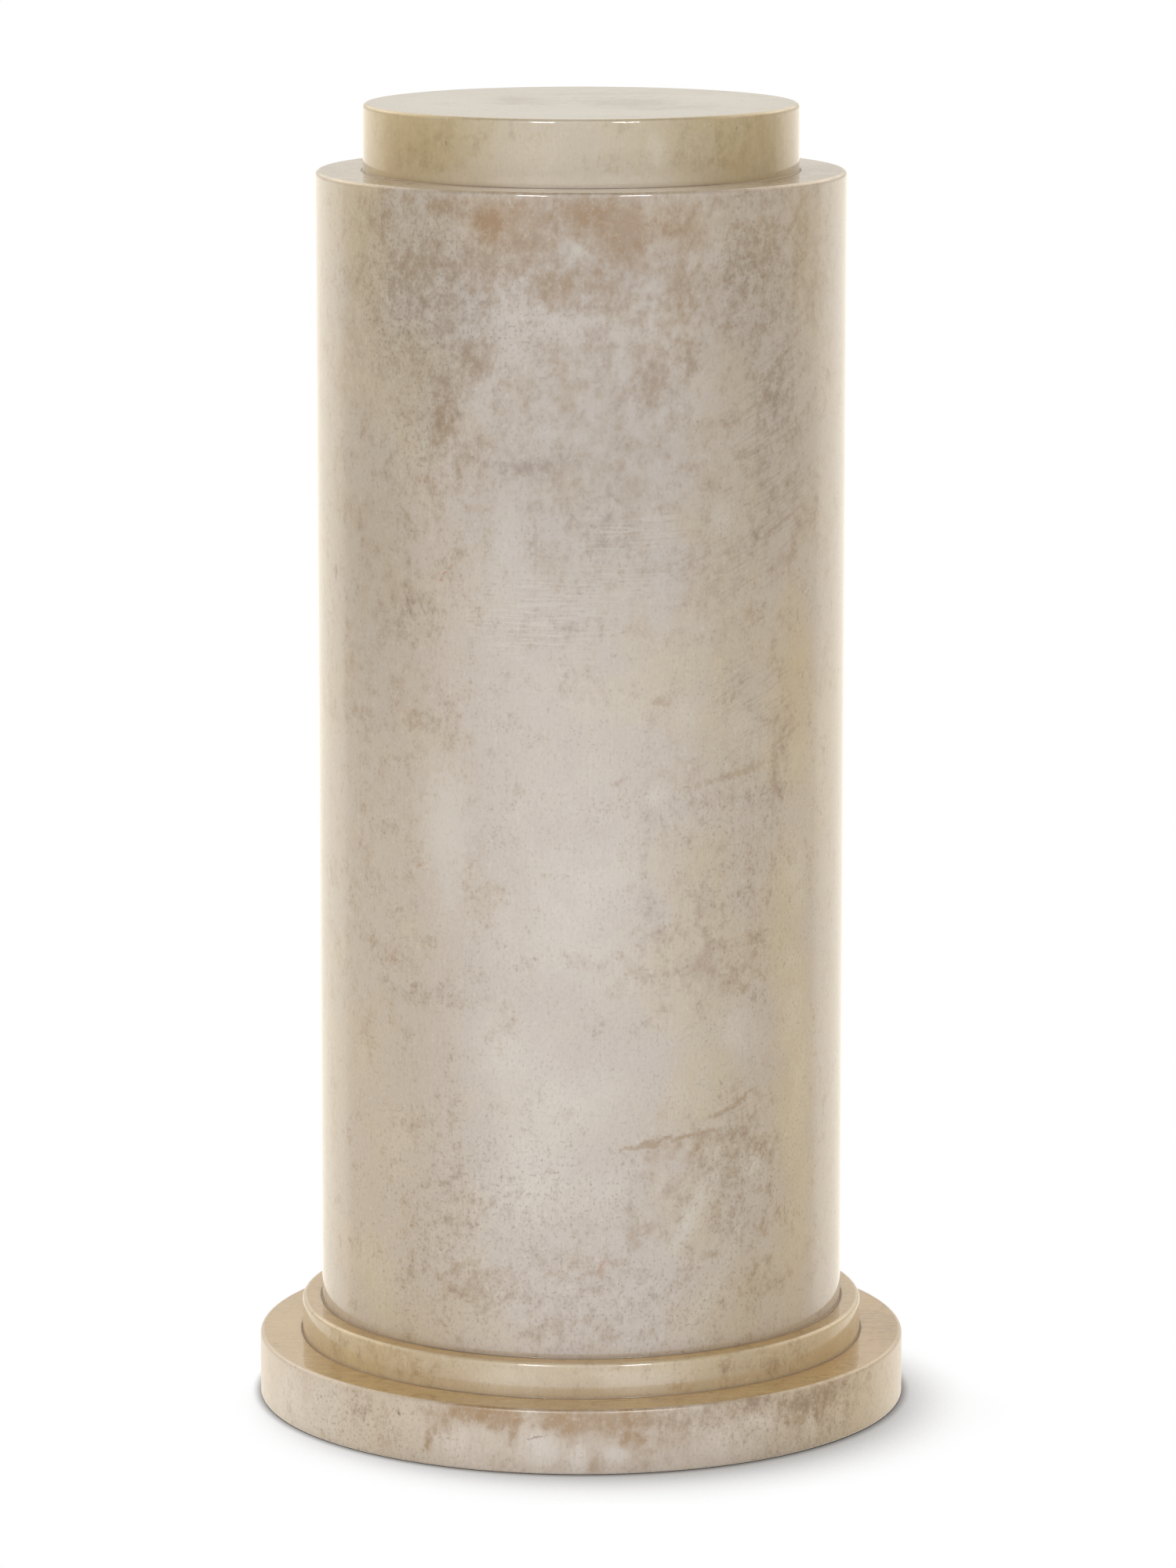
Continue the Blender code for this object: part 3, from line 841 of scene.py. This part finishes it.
    # Follicles: soft round specks with a chance of showing that rises where the hair was thick
    crowd = blend((mark["hair"], 0.75), (patches, 0.9), (mark["pale"], -0.3))
    for spacing, radius, least, deep, shift in ((8.5, 0.26, 0.55, 0.34, 0.4),
                                                (5.0, 0.22, 0.35, 0.34, 1.9)):
        where = add(tree, "Mapping", {"Vector": place, "Location": (shift, shift, 0.0),
                                      "Scale": (1.0, 0.80, 1.0)}).outputs[0]
        wobble = add(tree, "TexNoise", {"Vector": where, "Scale": 420.0, "Detail": 2.0},
                     noise_dimensions="2D").outputs["Color"]
        where = add(tree, "VectorMath", {0: wobble, 1: (0.0030, 0.0030, 0.0), 2: where},
                    operation="MULTIPLY_ADD").outputs[0]
        cells = add(tree, "TexVoronoi", {"Vector": where, "Scale": 1000.0 / spacing,
                                         "Randomness": 1.0}, voronoi_dimensions="2D").outputs
        chance = add(tree, "SeparateColor", {0: cells["Color"]}).outputs
        shown = ramp(calc("SUBTRACT", crowd, chance[0]), least - 0.3, least + 0.1)
        size = calc("MULTIPLY_ADD", chance[1], radius * 0.7, radius * 0.45)
        speck = ramp(calc("DIVIDE", cells["Distance"], size), 1.35, 0.20)
        strength = calc("MULTIPLY_ADD", chance[2], 0.6, 0.4)
        amount = calc("MULTIPLY", calc("MULTIPLY", speck, shown),
                      calc("MULTIPLY", strength, deep * specks))
        colour = paint(colour, brown, amount)

    # Fine leaning hairs, level creases and upright streaks
    hairs = ramp(noise(2.2, 4, 0.64, 11.0, lean=-67.0, shift=2.7), 0.46, 0.72)
    hairs = calc("MULTIPLY", hairs, ramp(blend((mark["grain"], 0.8), (patches, 0.9)), 0.55, 1.25))
    colour = paint(colour, brown, calc("MULTIPLY", hairs, 0.30 * busy))
    crease = ramp(noise(28.0, 3, 0.60, 0.07, shift=6.1), 0.46, 0.66)
    crease = calc("MULTIPLY", crease, ramp(blend((mark["crease"], 0.8), (patches, 0.6)), 0.4, 1.0))
    colour = paint(colour, thin, calc("MULTIPLY", crease, 0.42 * busy))
    streaks = ramp(noise(3.4, 5, 0.66, 7.0, shift=9.4), 0.48, 0.74)
    streaks = calc("MULTIPLY", streaks, ramp(blend((mark["streak"], 0.8), (patches, 0.6)),
                                             0.3, 1.1, 0.05, 0.42 * busy))
    colour = paint(colour, cloud, streaks)

    # Fine fibres over all, the skin deeper in tone under the deep marks, which on the near side
    # are painted shade, and golden under the gold marks, which near the outlines are painted warm
    # light
    fibre = ramp(noise(1.6, 3, 0.6, 5.0, shift=2.2), 0.3, 0.7, 0.98, 1.015)
    grain = ramp(noise(2.4, 4, 0.7, 1.3, shift=8.8), 0.3, 0.7, 0.972, 1.022)
    shade = calc("MULTIPLY", calc("MULTIPLY", fibre, grain), ramp(mark["deep"], 0, 1, 1.0, 0.80))
    colour = paint(colour, add(tree, "Mix", {FACTOR: 1.0, FIRST: colour, SECOND: linear("FFF7E2")},
                               data_type="RGBA", blend_type="MULTIPLY").outputs[MIXED],
                   mark["gold"])
    grey = add(tree, "CombineXYZ", {0: shade, 1: shade, 2: shade}).outputs[0]
    colour = add(tree, "Mix", {FACTOR: 1.0, FIRST: colour, SECOND: grey},
                 data_type="RGBA", blend_type="MULTIPLY").outputs[MIXED]

    # The small marks: the distance from the middle, in half sizes, with a rough edge from noise
    spot_map = add(tree, "CombineXYZ", {0: mark["across_mm"], 1: mark["up_mm"]}).outputs[0]
    wobble = add(tree, "TexNoise", {"Vector": place, "Scale": 110.0, "Detail": 5.0,
                                    "Roughness": 0.65}, noise_dimensions="2D").outputs["Color"]
    wobble = add(tree, "VectorMath", {0: wobble, 1: (8.0, 8.0, 0.0), 2: (-4.0, -4.0, 0.0)},
                 operation="MULTIPLY_ADD").outputs[0]
    spot_map = add(tree, "VectorMath", {0: spot_map, 1: wobble}).outputs[0]
    rough_edge = blend((flecks, 2.6), (grit, 1.8), (1.0, -2.2))
    for x, height, half_wide, half_high, lean, tone, amount in spots:
        where = add(tree, "Mapping", {
            "Vector": spot_map, "Location": (x, height, 0.0),
            "Rotation": (0.0, 0.0, math.radians(lean)),
            "Scale": (half_wide, half_high, 1.0)}, vector_type="TEXTURE").outputs[0]
        off = add(tree, "VectorMath", {0: where}, operation="LENGTH").outputs["Value"]
        colour = paint(colour, tone, ramp(calc("ADD", off, rough_edge), 1.9, 0.2, 0.0, amount))

    # The joint between two skins, painted shade in the corners where the drums meet, and deepest
    # in them a painted dark line of shade, where the coat is also thinner and duller
    colour = paint(colour, "8A7252", calc("MULTIPLY", mark["joint"], 0.7))
    colour = paint(colour, "8C6E4A", calc("MULTIPLY", mark["corner_shade"], 0.35))
    corner = ramp(mark["corner_shade"], 0.50, 0.70)
    colour = paint(colour, "7A5A38", calc("MULTIPLY", corner, 0.42))
    tree.links.new(ramp(corner, 0, 1, 1.0, 0.45), shader.inputs["Coat Weight"])

    tree.links.new(colour, shader.inputs["Base Color"])
    shader.inputs["Roughness"].default_value = 0.48
    shader.inputs["IOR"].default_value = 1.45
    shader.inputs["Coat Roughness"].default_value = blur
    shader.inputs["Specular IOR Level"].default_value = sheen
    shader.inputs["Coat IOR"].default_value = 1.5
    shader.inputs["Coat Tint"].default_value = linear("FFFAF0")

    # Orange peel: the faint ripple that sprayed lacquer keeps, about 4 mm from crest to crest
    peel = add(tree, "Bump", {"Height": noise(4.0, 2, 0.5), "Strength": 0.25,
                              "Distance": 0.00004}).outputs[0]
    tree.links.new(peel, shader.inputs["Coat Normal"])
    print(name, "uses", len(tree.nodes), "nodes")
    return material


# %% [markdown]
# Six skins come out of that one recipe. The shaft's is the greyest, the step's and the ledges'
# are the most golden, and the cap's is olive. The ledges' gold is painted reflection of the golden
# drums that they mirror, so the tops of the plinth and the step get their own skin. The discs and
# ledges are seen at a low angle, where the coat mirrors nearly half of the light. So their
# patterns are set stronger than they look, and their base has no gloss of its own.

# %% Six skins
shaft_skin = goatskin("goatskin_shaft", ("BFB5AD", "C1B5A0", "D0CAC4", "B1A18F", "8F6C2C",
                                         "877564"), 1.15, SHAFT_SPOTS)
plinth_skin = goatskin("goatskin_plinth", ("C5B8AA", "C8BAA6", "D8CFC7", "B6A490", "94713A",
                                           "8A725A"), 1.15, PLINTH_SPOTS, blur=0.30)
step_skin = goatskin("goatskin_step", ("C6B598", "CAB88E", "D8CCB8", "B8A180", "AC8B60",
                                       "8C7656"), 1.4, specks=0.8, blur=0.09)
cap_skin = goatskin("goatskin_cap", ("BCB09B", "BAAB88", "CBC1AF", "AE9E7C", "A08A60", "918160"),
                    1.2, CAP_SPOTS, specks=0.45)
disc_skin = goatskin("goatskin_disc", ("E8E0D8", "E6DCCC", "F4F0EB", "C0B09C", "AC9074", "9C8872"),
                     1.2, CAP_TOP_SPOTS, sheen=0.0)
# The ledges' skin: its warm golden tone is painted reflection of the golden drums above
ledge_reflection_skin = goatskin("goatskin_ledge_reflection", ("CBB083", "CFB077", "DEC89E", "B99D70", "AE8858",
                                         "86683F"), 1.4, specks=0.6, blur=0.05, sheen=0.0)

# %% [markdown]
# ## Felt under the plinth
# A heavy pedestal usually stands on a glued felt, which keeps it from scratching the floor. Felt
# is short wool fibres pressed flat. It is matt and dark, and close up it is mottled at about the
# width of a few fibres, so one fine noise mixes two browns and lifts the surface a little.

# %% Felt
felt = bpy.data.materials.new("brown_wool_felt")
felt.use_nodes = True
wool = felt.node_tree
fibres = add(wool, "TexNoise", {"Vector": add(wool, "TexCoord").outputs["Object"], "Scale": 700.0,
                                "Detail": 5.0, "Roughness": 0.7}).outputs["Fac"]
browns = add(wool, "Mix", {FACTOR: fibres, FIRST: linear("3F3228"), SECOND: linear("7A6552")},
             data_type="RGBA").outputs[MIXED]
pile = add(wool, "Bump", {"Height": fibres, "Strength": 0.6, "Distance": 0.0004}).outputs[0]
cloth = wool.nodes["Principled BSDF"]
wool.links.new(browns, cloth.inputs["Base Color"])
wool.links.new(pile, cloth.inputs["Normal"])
cloth.inputs["Roughness"].default_value = 0.95
cloth.inputs["Specular IOR Level"].default_value = 0.2
cloth.inputs["Sheen Weight"].default_value = 0.3
print(felt.name, "uses", len(wool.nodes), "nodes")

# %% [markdown]
# ## Turning the four drums
# Each drum takes its height and width from the CAD node that it stands for, so nothing is sized
# twice. The marks for the back are scattered over the far half.

# %% Drums
# Half widths in millimetres of each kind of mark on the back, then for each drum its node, its
# two skins, the node above, columns, step, marks, place on the map and marks of a kind behind
BACK_SIZES = {"tan": (12, 40), "pale": (12, 36), "cream": (30, 70), "cool": (30, 70),
              "gold": (40, 90), "smudge": (12, 36), "hair": (30, 60), "deep": (40, 90),
              "grain": (30, 60), "crease": (20, 50), "streak": (20, 60)}
DRUMS = (
    ("plinth", plinth_skin, ledge_reflection_skin, "base_step", 420, 0.0034, PLINTH_MARKS, PLINTH_TOP_MARKS,
     (0.0, 0.0), 8),
    ("base_step", step_skin, ledge_reflection_skin, "shaft", 400, 0.0034, STEP_MARKS, {}, (0.7, 7.0), 3),
    ("shaft", shaft_skin, disc_skin, "cap", 400, 0.0043, SHAFT_MARKS, SHAFT_TOP_MARKS,
     (1.3, 14.0), 14),
    ("cap", cap_skin, disc_skin, None, 400, 0.0034, CAP_MARKS, CAP_TOP_MARKS, (0.4, 21.0), 4),
)

for number, (node, skin, disc, above, columns, step, marks, top_marks, place, many) in enumerate(
        DRUMS):
    low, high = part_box(node)
    radius = (high[0] - low[0]) / 2
    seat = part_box(above)[1][0] if above else 0.0
    all_marks = {kind: list(marks.get(kind, ())) + scattered(
        100 * number + k, many, radius * 1000, low[2] * 1000, high[2] * 1000, BACK_SIZES[kind])
        for k, kind in enumerate(MARK_KINDS)}
    piece = turned_skin(node + "_goatskin", radius, low[2], high[2], seat, columns, step,
                        node == "plinth", all_marks, top_marks, place)
    for material in (skin, disc, felt):
        piece.data.materials.append(material)
    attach(piece, "root")
    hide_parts(node)

# %% [markdown]
# ## The size of the dressed pedestal
# The dressed pedestal has to be as big as the CAD model, so its box is printed in millimetres.

low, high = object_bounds()
print("dressed box in mm:", [round(1000 * side, 1) for side in high - low])
